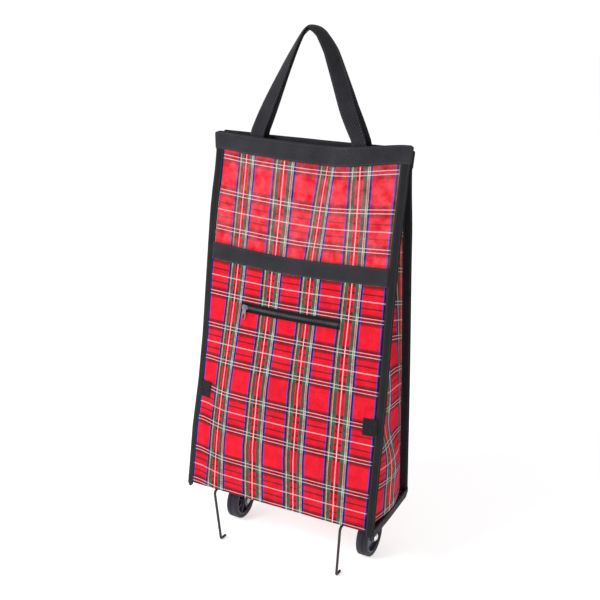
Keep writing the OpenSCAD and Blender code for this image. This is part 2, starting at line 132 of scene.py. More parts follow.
class Paint:
    """A material with one Principled shader."""

    def __init__(self, name, **constants):
        self.material = bpy.data.materials.new(name)
        self.material.use_nodes = True
        self.tree = self.material.node_tree
        self.shader = self.tree.nodes["Principled BSDF"]
        for key, value in constants.items():
            self.shader.inputs[key.replace("_", " ")].default_value = value

    def node(self, kind, settings=None, sockets=None, out=0):
        made = self.tree.nodes.new(kind)
        for key, value in (settings or {}).items():
            if key == "stops":
                self.fill_ramp(made.color_ramp, value)
                made.color_ramp.interpolation = "CONSTANT"
            else:
                setattr(made, key, value)
        for key, value in (sockets or {}).items():
            self.join(made.inputs[key], value)
        return Wire(self, made.outputs[out])

    def join(self, socket, value):
        if isinstance(value, Wire):
            self.tree.links.new(value.socket, socket)
        else:
            socket.default_value = value

    def fill_ramp(self, ramp, stops):
        while len(ramp.elements) < len(stops):
            ramp.elements.new(1.0)
        for element, (place, colour) in zip(ramp.elements, stops):
            element.position, element.color = place, colour

    def mix(self, mask, one, two):
        return self.node(
            "ShaderNodeMix", {"data_type": "RGBA"}, {0: mask, 6: one, 7: two}, out=2
        )

    def tint(self, colour, amount):
        """The colour made lighter or darker by a factor that may vary."""
        return self.node(
            "ShaderNodeVectorMath", {"operation": "SCALE"}, {0: colour, "Scale": amount}
        )

    def cloth_place(self):
        """Two wires: millimetres along and across the piece's own weave."""
        uv = self.node("ShaderNodeUVMap", {"uv_map": "weave"})
        along, across = (self.node("ShaderNodeSeparateXYZ", {}, {0: uv}, out=k) for k in (0, 1))
        return along * 1000, across * 1000

    def grain(self, scale, detail=2.0, stretch=None):
        """Noise in object space, about 0 to 1."""
        place = self.node("ShaderNodeTexCoord", out=3)
        if stretch:
            place = self.node("ShaderNodeMapping", {}, {0: place, 3: stretch})
        return self.node(
            "ShaderNodeTexNoise", {}, {"Vector": place, "Scale": scale, "Detail": detail}
        )

    def bump(self, height, strength, distance, under=None):
        sockets = {"Height": height, "Strength": strength, "Distance": distance}
        if under:
            sockets["Normal"] = under
        return self.node("ShaderNodeBump", {}, sockets)

    def finish(self, colour, rough=None, normal=None, metal=None, coat=None):
        for key, value in (
            ("Base Color", colour),
            ("Roughness", rough),
            ("Normal", normal),
            ("Metallic", metal),
            ("Coat Weight", coat),
        ):
            if value is not None:
                self.join(self.shader.inputs[key], value)
        return self.material


def dye(red, green, blue):
    """A colour from 0-255 screen values."""
    def line(c):
        c /= 255
        return c / 12.92 if c <= 0.04045 else ((c + 0.055) / 1.055) ** 2.4
    return (line(red), line(green), line(blue), 1.0)


# Colours of the cloth in its plain fields, and where the dark weft rows cross them
RED, DEEP_RED = dye(220, 14, 40), dye(104, 8, 22)
WARP_REPEAT, WEFT_REPEAT = 63.5, 101.4
# Warp stripes: where each starts in the repeat, in millimetres, its thread, and that
# thread under a dark row
WARP = (
    (0.0, dye(62, 64, 186), dye(24, 52, 150)),
    (1.4, dye(40, 14, 22), dye(6, 10, 16)),
    (3.7, dye(134, 92, 62), dye(84, 100, 66)),
    (5.0, dye(186, 132, 120), dye(176, 178, 160)),
    (6.5, dye(60, 40, 34), dye(8, 44, 34)),
    (7.3, dye(66, 74, 62), dye(0, 104, 80)),
    (11.2, RED, DEEP_RED),
    (13.1, dye(112, 14, 28), dye(26, 10, 16)),
    (14.0, RED, DEEP_RED),
    (15.8, dye(244, 166, 174), dye(236, 190, 192)),
    (17.0, RED, DEEP_RED),
    (19.1, dye(112, 14, 28), dye(26, 10, 16)),
    (20.0, RED, DEEP_RED),
    (22.3, dye(68, 76, 64), dye(0, 104, 80)),
    (26.3, dye(36, 22, 22), dye(6, 22, 22)),
    (27.0, dye(178, 136, 134), dye(172, 180, 172)),
    (28.6, dye(92, 58, 60), dye(66, 84, 80)),
    (29.4, dye(178, 136, 134), dye(164, 172, 164)),
    (30.9, dye(44, 12, 20), dye(6, 8, 14)),
    (33.2, dye(62, 64, 186), dye(24, 52, 150)),
    (34.6, RED, DEEP_RED),
)
# Weft by its distance from the middle of the repeat: where each starts, how dark the
# row is, and how much of its pale line shows
WEFT = (
    (0.0, 0.2, 0.55), (0.7, 0.1, 0.0), (8.9, 1.0, 0.0), (10.7, 0.1, 0.0), (17.4, 0.66, 0.0),
    (19.4, 1.0, 0.0), (22.9, 0.6, 0.62), (24.1, 0.85, 0.0), (27.8, 0.6, 0.62), (29.0, 1.0, 0.0),
    (32.4, 0.66, 0.0), (34.4, 0.0, 0.0),
)
PALE = dye(246, 214, 218)


def tartan(name, rows, painted_light):
    """Warp stripes under rows of weft, crossing in a twill; painted_light lays a pale painted
    highlight over it where the rumple noise is high.
    """
    p = Paint(name, Specular_IOR_Level=0.12)
    u, v = p.cloth_place()
    wobble = (p.grain(170.0) - 0.5) * 0.9
    across = (u + wobble).wrap(WARP_REPEAT) / WARP_REPEAT
    plain, crossed = (p.node("ShaderNodeValToRGB", {
        "stops": [(stripe[0] / WARP_REPEAT, stripe[k]) for stripe in WARP]}, {0: across})
        for k in (1, 2))
    down = ((v + wobble * 0.6).wrap(WEFT_REPEAT) - WEFT_REPEAT / 2).size() / (WEFT_REPEAT / 2)
    dark, line = (p.node("ShaderNodeValToRGB", {
        "stops": [(row[0] * 2 / WEFT_REPEAT, (row[k],) * 3 + (1.0,)) for row in WEFT]}, {0: down})
        for k in (1, 2))
    twill = (u + v).wave(2.1)
    woven = p.mix(dark * (twill * 0.4 + 0.7) * rows, plain, crossed)
    woven = p.mix(line * ((u - v).wave(1.7) * 0.5 + 0.6), woven, PALE)
    cloudy, rumple, speck = p.grain(11.0, 3.0), p.grain(75.0, 4.0), p.grain(720.0, 2.0)
    shade = (cloudy - 0.5) * 0.34 + (rumple - 0.5) * 0.42 + (speck - 0.5) * 0.8 + 1.0
    thread = (u + v).wave(1.05) * 0.6 + (u - v).wave(0.9) * 0.4
    fine = p.bump(thread + speck, 0.5, 0.0004)
    soft = p.bump(p.grain(30.0, 5.0), 0.8, 0.0045, fine)
    # painted highlight: pale pink mixed over the weave where the rumple noise is high, as much as
    # painted_light gives
    lit_bloom = p.mix((rumple - 0.3) * painted_light, woven, dye(255, 190, 196))
    shade = shade * (twill * 0.2 + 0.9)
    return p.finish(p.tint(lit_bloom, shade), cloudy * 0.12 + 0.72, soft)


def webbing(name, half, base, lit, stitch=None, pitch=2.4, edge=0.7):
    """Ribbed tape with a firm edge and a row of stitches near each side; thread tops are mixed towards
    the lit colour as painted sheen, the edges are painted lighter as a highlight, and the stitches are
    painted light grey as a highlight on black thread.
    """
    p = Paint(name, Specular_IOR_Level=0.2, Sheen_Weight=0.12, Sheen_Roughness=0.4)
    u, v = p.cloth_place()
    rib = (u + v).wave(pitch) * 0.45 + (u - v * 0.5).wave(pitch * 0.6) * 0.25
    thread = rib + p.grain(1100.0) * 0.5
    rim = (half - v.size()).step(0.0, edge)
    cloudy = p.grain(40.0, 4.0)
    colour = p.mix(thread.step(0.42, 0.85), base, lit)
    # painted highlight: the tone rises by a fifth towards each edge, where rim falls to 0
    colour = p.tint(colour, ((cloudy - 0.5) * 0.9 + 1.0) * (1.2 - rim * 0.2))
    height = thread + rim * 0.8
    if stitch:
        inset, length = stitch
        line = 1 - ((v.size() - (half - inset)).size()).step(0.25, 0.6)
        along = u.wrap(length)
        dash = along.step(0.4, 0.8) * (1 - along.step(length - 0.8, length - 0.4))
        # painted highlight: the black stitch dashes are painted light grey
        colour = p.mix(line * dash * 0.7, colour, dye(74, 74, 82))
        height = height + line * dash * 1.4 - line * (1 - dash) * 1.4
    return p.finish(colour, 0.86 - cloudy * 0.15, p.bump(height, 0.7, 0.0005))


def pile(name):
    """Looped pile of the hook-and-loop squares."""
    p = Paint(name, Sheen_Weight=0.15, Sheen_Roughness=0.5, Specular_IOR_Level=0.15)
    fuzz, cloud = p.grain(1100.0, 3.0), p.grain(120.0, 2.0)
    colour = p.mix(fuzz.step(0.35, 0.75), dye(10, 10, 12), dye(44, 44, 50))
    return p.finish(p.tint(colour, cloud * 0.9 + 0.55), 0.95, p.bump(fuzz + cloud, 0.9, 0.0009))


def painted(name, base, lit, rough, coat=0.0, scale=260.0, wear=None):
    """Moulded or lacquered surface with a faint skin and rubbed spots."""
    p = Paint(name, Specular_IOR_Level=0.5)
    skin, cloud = p.grain(scale, 3.0), p.grain(35.0, 4.0)
    colour = p.mix(cloud.step(0.3, 0.75), base, lit)
    rub = p.grain(70.0, 6.0).step(0.66, 0.74)
    if wear:
        colour = p.mix(rub * 0.6, colour, wear)
    return p.finish(colour, cloud * 0.15 + rough, p.bump(skin, 0.25, 0.0003), coat=coat or None)


def metal(name, base, rough, brush=(1.0, 1.0, 60.0)):
    """Bare or plated metal with fine brushing."""
    p = Paint(name, Metallic=1.0)
    lines, cloud = p.grain(300.0, 3.0, brush), p.grain(60.0, 4.0)
    colour = p.tint(p.mix(cloud.step(0.35, 0.8), base, tuple(c * 0.78 for c in base[:3]) + (1.0,)),
                    lines * 0.16 + 0.92)
    return p.finish(colour, cloud * 0.16 + rough, p.bump(lines, 0.12, 0.0002))


def board_paint(name):
    """Pressed hardboard: brown with fibres."""
    p = Paint(name, Specular_IOR_Level=0.3)
    fibre, cloud = p.grain(500.0, 4.0, (1.0, 4.0, 1.0)), p.grain(14.0, 3.0)
    colour = p.mix(fibre.step(0.3, 0.7), dye(92, 68, 48), dye(140, 110, 82))
    return p.finish(p.tint(colour, cloud * 0.3 + 0.85), 0.8, p.bump(fibre, 0.3, 0.0003))


def rubber(name):
    """Tyre compound with dusty patches and fine scuffs spread at random."""
    p = Paint(name, Specular_IOR_Level=0.3)
    dust, fine = p.grain(45.0, 5.0), p.grain(700.0, 2.0)
    colour = p.mix(dust.step(0.4, 0.8), dye(32, 32, 42), dye(58, 58, 72))
    return p.finish(p.tint(colour, fine * 0.3 + 0.85), dust * 0.2 + 0.48, p.bump(fine, 0.3, 0.0003))


# ---------- mesh tools ----------


def keep(name, bm, material, body, stands_for=()):
    """Makes the mesh a piece on its body, in place of the CAD nodes it stands for."""
    mesh = bpy.data.meshes.new(name)
    for face in bm.faces:
        face.smooth = True
    bm.to_mesh(mesh)
    bm.free()
    piece = bpy.data.objects.new(name, mesh)
    bpy.context.scene.collection.objects.link(piece)
    mesh.materials.append(material)
    if stands_for:
        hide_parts(*stands_for)
    if body:
        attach(piece, body)
    return piece


def patch(name, across, up, place, plan, outward, material, body, stands_for=(),
          skip=None, thick=CLOTH_T):
    """A cloth laid over a grid of across and up steps, with its weave plan in metres."""
    bm = bmesh.new()
    weave = bm.loops.layers.uv.new("weave")
    nx, ny = len(across) - 1, len(up) - 1
    bmesh.ops.create_grid(bm, x_segments=nx, y_segments=ny, size=0.5)

    def spot(vert):
        return across[round((vert.co.x + 0.5) * nx)], up[round((vert.co.y + 0.5) * ny)]

    places = {vert: spot(vert) for vert in bm.verts}
    for face in bm.faces:
        for loop in face.loops:
            loop[weave].uv = plan(*places[loop.vert])
    if skip:
        gone = []
        for face in bm.faces:
            mid = [sum(places[v][k] for v in face.verts) / len(face.verts) for k in (0, 1)]
            if skip(*mid):
                gone.append(face)
        bmesh.ops.delete(bm, geom=gone, context="FACES")
    for vert in bm.verts:
        vert.co = place(*places[vert])
    bm.normal_update()
    if sum(f.normal.dot(Vector(outward)) for f in bm.faces) < 0:
        bmesh.ops.reverse_faces(bm, faces=bm.faces)
    piece = keep(name, bm, material, body, stands_for)
    wall_mod = piece.modifiers.new("cloth thickness", "SOLIDIFY")
    wall_mod.thickness, wall_mod.offset = thick, -1.0
    return piece


def outline(width, thick, ends=4, flat=4):
    """A flat closed outline with round edges, as (across, out) points."""
    r = thick / 2
    reach = width / 2 - r
    points = [(-reach + 2 * reach * k / flat, -r) for k in range(flat)]
    points += [(reach + r * math.cos(a), r * math.sin(a))
               for a in (math.radians(-90 + 180 * k / ends) for k in range(ends))]
    points += [(reach - 2 * reach * k / flat, r) for k in range(flat)]
    points += [(-reach - r * math.cos(a), r * math.sin(a))
               for a in (math.radians(90 - 180 * k / ends) for k in range(ends))]
    return points


def strip(name, profile, steps, where, length, material, body, stands_for=(), bm=None):
    """Carries a closed profile along a line; where(t, a, o) sets its point (a, o) at t.

    With bm the strip is added to that mesh, and otherwise it is a piece of its own.
    """
    work = bmesh.new()
    weave = work.loops.layers.uv.new("weave")
    n = len(profile)
    bmesh.ops.create_grid(work, x_segments=n, y_segments=steps, size=0.5)
    places = {v: (round((v.co.x + 0.5) * n), (v.co.y + 0.5)) for v in work.verts}
    for face in work.faces:
        for loop in face.loops:
            k, t = places[loop.vert]
            loop[weave].uv = (t * length, profile[k % n][0])
    for vert, (k, t) in places.items():
        a, o = profile[k % n]
        vert.co = where(t, a, o)
    bmesh.ops.remove_doubles(work, verts=work.verts, dist=1e-7)
    rims = [e for e in work.edges if e.is_boundary]
    bmesh.ops.holes_fill(work, edges=rims, sides=0)
    bmesh.ops.recalc_face_normals(work, faces=work.faces)
    if bm is not None:
        merge(bm, work)
        return None
    return keep(name, work, material, body, stands_for)


def merge(bm, extra):
    """Adds one bmesh to another."""
    mesh = bpy.data.meshes.new("part")
    extra.to_mesh(mesh)
    extra.free()
    bm.from_mesh(mesh)
    bpy.data.meshes.remove(mesh)


def block(bm, low, high, bevel, turn):
    """A box between two corners with rounded edges, turned into place and added to bm."""
    part = bmesh.new()
    size = [high[k] - low[k] for k in range(3)]
    mid = Vector([(high[k] + low[k]) / 2 for k in range(3)])
    bmesh.ops.create_cube(part, size=1.0)
    bmesh.ops.scale(part, vec=size, verts=part.verts)
    bmesh.ops.bevel(part, geom=part.edges, offset=bevel, offset_type="OFFSET", segments=2,
                    profile=0.5, affect="EDGES", material=-1, clamp_overlap=True)
    bmesh.ops.translate(part, vec=mid, verts=part.verts)
    bmesh.ops.transform(part, matrix=turn, verts=part.verts)
    merge(bm, part)


# ---------- the standing shape of the bag ----------


def pinch(x, down):
    """How far the mouth is pressed flat at its corners, 0 to 1."""
    return 0.6 * smooth((abs(x) - 0.088) / 0.06) * smooth(1 - down / 0.12)


def sag(x, down):
    """How far the slack front drops, most under the mouth."""
    depth = between(down, ((0, 0.0046), (0.025, 0.0066), (0.09, 0.0072), (0.16, 0.006),
                           (0.2, 0.004), (0.25, 0.0022), (0.34, 0.0)))
    mid = between(down, ((0, 0.034), (0.12, 0.016), (0.16, -0.02), (0.3, -0.01)))
    reach = CLOTH_HALF + (mid if x < mid else -mid)
    lift = 0.0068 * smooth((x - 0.04) / 0.11) * smooth(1 - down / 0.13)
    return depth * (1 - min(1.0, abs(x - mid) / reach) ** 1.35) - lift


def bow(x, down):
    """How far the front stands out from its flat plane."""
    r = min(1.0, abs(x) / CLOTH_HALF)
    full = between(down, ((0, 0.0055), (0.08, 0.004), (0.16, 0.003), (0.25, 0.0026),
                          (0.36, 0.0062), (0.46, 0.0066), (0.52, 0.0028), (PANEL, 0.0012)))
    full *= 1 - 0.3 * smooth(x / 0.1) * smooth((down - 0.26) / 0.1)
    out = full * (1 - r ** 3)
    line = between(down, ((0, 0.030), (0.15, 0.004)))
    out -= 0.0062 * math.exp(-(((x - line) / 0.017) ** 2)) * smooth(1 - down / 0.17)
    out += 0.0022 * math.exp(-(((x - line - 0.042) / 0.02) ** 2)) * smooth(1 - down / 0.17)
    away = 1 - math.exp(-(((down - ZIP_DOWN) / 0.02) ** 2) * (1 if abs(x) < 0.09 else 0))
    out += (1 - r ** 4) * 0.0011 * away * noise.noise(Vector((x * 24, down * 17, 0.3)))
    out += (1 - r ** 4) * 0.0004 * away * noise.noise(Vector((x * 75, down * 60, 1.3)))
    return out


def splay(x, y, down):
    """How far the lower front corners are pushed sideways."""
    drop = smooth((down - 0.15) / 0.27)
    edge = between(down, ((0, -0.002), (0.05, -0.0012), (0.1, 0.0), (0.2, 0.0028), (0.3, 0.0035),
                          (0.37, 0.0062), (0.45, 0.0125), (PANEL, 0.0148)))
    left = between(x, ((-0.13, edge), (-0.11, edge * 0.5 + drop * 0.0075), (-0.084, drop * 0.0112),
                       (-0.026, drop * 0.0042), (0.015, 0.0)))
    front = smooth((0.09 - y) / 0.12)
    return front * (drop * 0.0032 * smooth((x - 0.03) / 0.09) - left)


def wall(side, x, v, w):
    """A point of the leaning front (side -1) or back (side 1): across, up and out."""
    down = PANEL - v
    if side < 0:
        w += bow(x, down)
        v -= sag(x, down)
    else:
        r = min(1.0, abs(x) / CLOTH_HALF)
        w += (1 - r ** 3) * (0.0025 + 0.0012 * noise.noise(Vector((x * 18, down * 12, 7.1))))
    y = HALF_D - v * math.sin(LEAN) + w * math.cos(LEAN)
    z = BASE_Z + v * math.cos(LEAN) + w * math.sin(LEAN)
    y *= 1 - pinch(x, down)
    x += math.copysign(0.0024, x) * smooth(1 - down / 0.03) * min(1.0, abs(x) / HALF_W) ** 6
    return Vector((x + splay(x, side * y, down), side * y, z))


# Where the warp stripes' edges lie across the front at some heights, in millimetres
STRIPE_EDGES = (-28.9, 0.0, 34.6, 63.5, 98.1, 127.0, 161.6, 190.5, 225.1, 254.0)
UPPER_ROWS = (
    (25.0, (14.2, 41.9, 73.5, 101.2, 138.5, 169.5, 197.4, 217.5, 251.4, 281.0)),
    (158.0, (13.8, 39.4, 67.6, 96.8, 133.6, 159.2, 187.4, 217.7, 253.4, 282.1)),
)
LOWER_ROWS = (
    (184.6, (15.0, 41.8, 71.2, 96.1, 129.3, 156.9, 191.0, 220.5, 253.6, 282.7)),
    (279.0, (15.0, 40.5, 70.5, 96.0, 127.9, 155.2, 188.0, 217.1, 252.6, 283.5)),
    (358.9, (15.0, 39.9, 68.8, 95.0, 125.1, 152.7, 187.0, 216.4, 252.9, 283.0)),
    (459.0, (15.5, 38.9, 65.8, 92.2, 126.0, 154.4, 188.9, 217.6, 253.9, 284.1)),
    (529.0, (15.8, 36.4, 67.6, 95.2, 128.5, 157.6, 192.0, 220.0, 254.7, 283.8)),
)


def stripes(rows, x, down):
    """Warp place of a point on the front, in metres, drawn in where the cloth is slack."""
    here, mm = x * 1000 + 150, down * 1000
    edges = [between(mm, [(place, row[k]) for place, row in rows]) for k in range(10)]
    knots = [(edges[0] - 34.6, STRIPE_EDGES[0] - 34.6)] + list(zip(edges, STRIPE_EDGES))
    knots += [(edges[-1] + 34.6, STRIPE_EDGES[-1] + 34.6)]
    return between(here, knots) / 1000


WEFT_MID = WEFT_REPEAT / 2000


def upper_plan(x, v):
    down = PANEL - v
    return stripes(UPPER_ROWS, x, down), down - 0.110 + WEFT_MID


def lower_plan(x, v):
    down = PANEL - v
    lift = 0.0055 * smooth((-0.085 - x) / 0.045) * smooth((down - 0.3) / 0.1)
    return stripes(LOWER_ROWS, x, down), down - 0.2068 + WEFT_MID + lift


def gusset(side, s, z):
    """A point of a side gusset: s from -1 at the front to 1 at the back."""
    share = max(0.0, (z - BASE_Z) / HEIGHT)
    fold = -0.011 + 0.056 * share ** 1.3
    power = 2 + 1.6 * share
    depth = HALF_D - (z - BASE_Z) * (HALF_D - MOUTH) / HEIGHT - 0.004
    u = math.sin(math.pi / 2 * s)
    hollow = 1 - abs(u) ** power
    x = CLOTH_HALF + 0.001 - fold * hollow
    x -= 0.006 * hollow * math.exp(-(((z - 0.225 + 0.035 * s) / 0.035) ** 2))
    x += 0.0035 * hollow * math.exp(-(((z - 0.165 + 0.03 * s) / 0.03) ** 2))
    x += hollow * 0.0022 * noise.noise(Vector((s * 2.0, z * 17, side * 3.7)))
    y = depth * u * (1 - pinch(0.138, TOP_Z - z))
    return Vector((side * x + splay(side * x, y, TOP_Z - z), y, z))


# ---------- materials ----------

# The upper cloth is a lit copy: lighter dark rows and more pale painted highlight, painted for the
# brighter upper front panel
tartan_cloth = tartan("tartan cloth", 1.0, 0.04)
lit_upper_tartan = tartan("lit upper tartan cloth", 0.72, 0.3)
band_web = webbing("band webbing", 12.5, dye(3, 3, 5), dye(62, 62, 68), stitch=(2.2, 3.2))
handle_web = webbing("handle webbing", 11.0, dye(3, 3, 5), dye(52, 52, 58), stitch=(1.8, 3.0))
edge_tape = webbing("binding tape", 6.6, dye(3, 3, 5), dye(38, 38, 43), stitch=(2.0, 2.8), pitch=1.6)
hem_tape = webbing("gusset hem tape", 12.5, dye(9, 9, 11), dye(40, 40, 46), stitch=(2.2, 3.2))
zip_tape = webbing("zip tape", 6.0, dye(3, 3, 4), dye(22, 22, 25), stitch=(1.4, 2.4), pitch=0.9)
hook_pile = pile("hook and loop pile")
coil_nylon = painted("zip coil nylon", dye(58, 58, 63), dye(108, 108, 116), 0.35, scale=900.0)
black_metal = painted("black lacquer", dye(26, 26, 30), dye(44, 44, 50), 0.28, coat=0.4,
                      wear=dye(96, 96, 104))
slider_metal = painted("slider lacquer", dye(70, 72, 80), dye(128, 130, 140), 0.22, coat=0.5,
                       wear=dye(150, 150, 158))
wire_coat = painted("gloss wire coating", dye(3, 2, 7), dye(9, 8, 16), 0.34, coat=0.1)
plated = metal("zinc plate", dye(178, 180, 184), 0.3)
chrome = metal("polished cap", dye(232, 233, 238), 0.08, (1.0, 1.0, 8.0))
hardboard = board_paint("hardboard")
tyre_rubber = rubber("tyre compound")
rim_plastic = painted("rim moulding", dye(46, 48, 60), dye(72, 74, 90), 0.3, scale=500.0)
bush_plastic = painted("natural nylon", dye(206, 200, 186), dye(228, 224, 212), 0.45, scale=500.0)

for nodes, material in (
    (("base_board",), hardboard),
    (("bracket_left", "bracket_right"), black_metal),
    (("bracket_rivets", "clip_rivets", "axle_left", "axle_right", "axle_washers",
      "leg_clip_left", "leg_clip_right"), plated),
    (("axle_cap_left", "axle_cap_right"), chrome),
    (("tyre_left", "tyre_right"), tyre_rubber),
    (("wheel_rim_left", "wheel_rim_right"), rim_plastic),
    (("wheel_bush_left", "wheel_bush_right"), bush_plastic),
    (("leg_left", "leg_right"), wire_coat),
):
    for node_name in nodes:
        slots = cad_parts[node_name].material_slots
        if slots:
            for place in slots:
                place.material = material
        else:
            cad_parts[node_name].data.materials.append(material)

# ---------- cloth ----------

ZIP_V = PANEL - ZIP_DOWN
MID_V = PANEL - MID_DROP
FRONT_IN = 0.0016

patch("front_cloth", spread(-CLOTH_HALF, CLOTH_HALF, 72), spread(0.001, PANEL - 0.001, 110),
      lambda x, v: wall(-1, x, v, -FRONT_IN), upper_plan, (0, -1, 0), lit_upper_tartan,
      "bag", ("front_panel",))
slot_low, slot_high = ZIP_V - ZIP_OPEN / 2, ZIP_V + ZIP_OPEN / 2
patch("pocket_cloth", spread(-CLOTH_HALF, CLOTH_HALF, 72, (ZIP_X0, ZIP_X1)),
      spread(0.0004, MID_V - 0.004, 84, (slot_low, slot_high)),
      lambda x, v: wall(-1, x, v, 0.0), lower_plan, (0, -1, 0), tartan_cloth, "bag",
      ("pocket_panel",),
      skip=lambda x, v: ZIP_X0 < x < ZIP_X1 and slot_low < v < slot_high)
patch("back_cloth", spread(-CLOTH_HALF, CLOTH_HALF, 60), spread(-0.0008, PANEL - 0.001, 96),
      lambda x, v: wall(1, x, v, 0.0), lambda x, v: (x + 0.05, v - 0.02), (0, 1, 0),
      tartan_cloth, "bag", ("back_panel",))


def bottom(x, y):
    """A point of the bottom cloth, a little uneven in its middle."""
    free = (1 - (x / 0.147) ** 2) * (1 - (y / 0.069) ** 2)
    z = BASE_Z - 0.0006 + 0.0009 * noise.noise(Vector((x * 20, y * 20, 0))) * free + 0.0003
    return Vector((x + splay(x, y, PANEL), y, z))


patch("bottom_cloth", spread(-0.1465, 0.1465, 40), spread(-0.0685, 0.0685, 20), bottom,
      lambda x, y: (x + 0.05, y), (0, 0, -1), tartan_cloth, "bag", ("bottom_panel",))

for side, label in ((-1, "left"), (1, "right")):
    patch(f"gusset_cloth_{label}", spread(-1, 1, 40), spread(BASE_Z + 0.002, TOP_Z - 0.022, 84),
          lambda s, z, side=side: gusset(side, s, z),
          lambda s, z: (0.070 * (s + 1) * (1 + 0.02 * (1 - s * s)) - 0.0456 - 0.004, z - 0.022),
          (side, 0, 0), tartan_cloth, "bag", (f"gusset_{label}",))
    strip(f"gusset_hem_tape_{label}", outline(BAND_W, 0.0014), 40,
          lambda t, a, o, side=side: gusset(side, 1.98 * t - 0.99, TOP_Z - BAND_W / 2 + 0.0025 + a)
          + Vector((side * (o + 0.0004), 0, 0)),
          0.03, hem_tape, "bag", (f"gusset_hem_{label}",))

# ---------- webbing bands and bindings ----------


def band(name, side, half, v_mid, w, node, curl=0.0, thick=WEB_T):
    """A webbing band across a wall; its ends may curl round the corner."""
    def where(t, a, o):
        x = half * (2 * t - 1)
        end = max(0.0, abs(x) - half + 0.004) / 0.004
        trim = 1 - 0.16 * curl * end ** 3 if a > 0 else 1
        return wall(side, x, v_mid + a * trim, w + o)
    return strip(name, outline(BAND_W, thick, ends=6), 96, where, 2 * half, band_web,
                 "bag", (node,))


band("top_webbing_front", -1, HALF_W + 0.0006, PANEL - BAND_W / 2, -0.0004, "top_band_front",
     1.0, 0.0046)
band("top_webbing_back", 1, HALF_W + 0.0006, PANEL - BAND_W / 2, 0.0002, "top_band_back",
     1.0, 0.0036)
band("lower_webbing", -1, CLOTH_HALF + 0.001, MID_V - BAND_W / 2, 0.0009, "mid_band")

for side, label in ((-1, "left"), (1, "right")):
    tape = bmesh.new()
    tape.loops.layers.uv.new("weave")
    centre = CLOTH_HALF + 0.0066
    folded = outline(0.0134, 0.0034)
    for face_side, low in ((-1, -0.0072), (1, -0.0045)):
        def where(t, a, o, face_side=face_side, low=low, side=side):
            v = low + (PANEL - 0.0015 - low) * t
            thin = 1 - 0.45 * smooth((-a - 0.002) / 0.004)
            reach = a + 0.0067
            turn = 0.0
            if side < 0 and face_side < 0:
                turn = between(PANEL - v, ((0.08, 0.0), (0.2, 0.28), (0.38, 0.36), (0.5, 0.42)))
            x = side * (CLOTH_HALF - 0.0001 + reach * math.cos(turn))
            round_off = 0.004 * max(0.0, 1 - (v - low) / 0.004) ** 2 * (1 if abs(a) > 0.004 else 0)
            return wall(face_side, x, v + round_off, -0.0011 + o * thin - reach * math.sin(turn)
                        + 0.0002 * noise.noise(Vector((v * 60, side, 0))))
        strip("", folded, 120, where, PANEL, None, None, bm=tape)

    def under(t, a, o, side=side):
        y = (2 * t - 1) * 0.0705
        if side < 0:
            y += 0.0092 * (1 - t) ** 3
        back = smooth((y - 0.0635) / 0.007)
        front = smooth((-y - 0.064) / 0.0065)
        z = BASE_Z - 0.0005 + a * (1 - 0.3 * back) + 0.004 * back - 0.001 * front
        x = side * (0.1483 + o)
        return Vector((x + splay(x, y, PANEL), y, z))
    strip("", outline(0.0134, 0.0032), 60, under, 0.141, None, None, bm=tape)
    keep(f"binding_tape_{label}", tape, edge_tape, "bag", (f"binding_{label}",))

# ---------- hook-and-loop squares ----------

for side, label in ((-1, "left"), (1, "right")):
    x_mid = side * (CLOTH_HALF - 0.0002 - HOOK_W / 2 + 0.002)
    turn = 0.04 * side

    def where(t, a, o, x_mid=x_mid, turn=turn):
        x = x_mid + (2 * t - 1) * (HOOK_W / 2 + 0.0016)
        fuzz = 0.00035 * noise.noise(Vector((x * 900, a * 900, 4.0)))
        v = PANEL - HOOK_DROP + a + (x - x_mid) * turn
        return wall(-1, x, v, 0.0013 + o + (fuzz if o > 0 else 0))
    strip(f"hook_and_loop_{label}", outline(0.025, 0.0018, flat=14), 14, where, 0.02, hook_pile,
          "bag", (f"hook_square_{label}",))

# ---------- zip ----------


for label, middle in (("upper", ZIP_V + 0.0062), ("lower", ZIP_V - 0.0062)):
    strip(f"zip_cloth_{label}", outline(0.012, 0.0006), 60,
          lambda t, a, o, middle=middle: wall(-1, 
              ZIP_X0 - 0.004 + (ZIP_X1 - ZIP_X0 + 0.008) * t, middle + a, -0.0008 + o),
          0.164, zip_tape, "bag", (f"zip_tape_{label}",))

coil = bmesh.new()
teeth = int((ZIP_X1 - ZIP_X0 - 0.006) / 0.0011)
for k in range(teeth):
    x = ZIP_X0 + 0.003 + 0.0011 * k
    lean_v = 0.0009 if k % 2 else -0.0009
    spot = wall(-1, x, ZIP_V + lean_v, 0.0002)
    bmesh.ops.create_uvsphere(
        coil, u_segments=6, v_segments=4, radius=1.0,
        matrix=Matrix.Translation(spot) @ Matrix.Rotation(-LEAN, 4, "X")
        @ Matrix.Diagonal((0.00052, 0.0007, 0.0017, 1.0)))
keep("zip_coil", coil, coil_nylon, "bag", ("zip_teeth",))

stops = bmesh.new()
for x in (ZIP_X0 + 0.001, ZIP_X1 - 0.001):
    spot = wall(-1, x, ZIP_V, 0.0002)
    block(stops, (-0.0007, -0.0009, -0.0028), (0.0007, 0.0009, 0.0028), 0.0003,
          turn=Matrix.Translation(spot) @ Matrix.Rotation(-LEAN, 4, "X"))
keep("zip_stop_clips", stops, black_metal, "bag", ("zip_stops",))

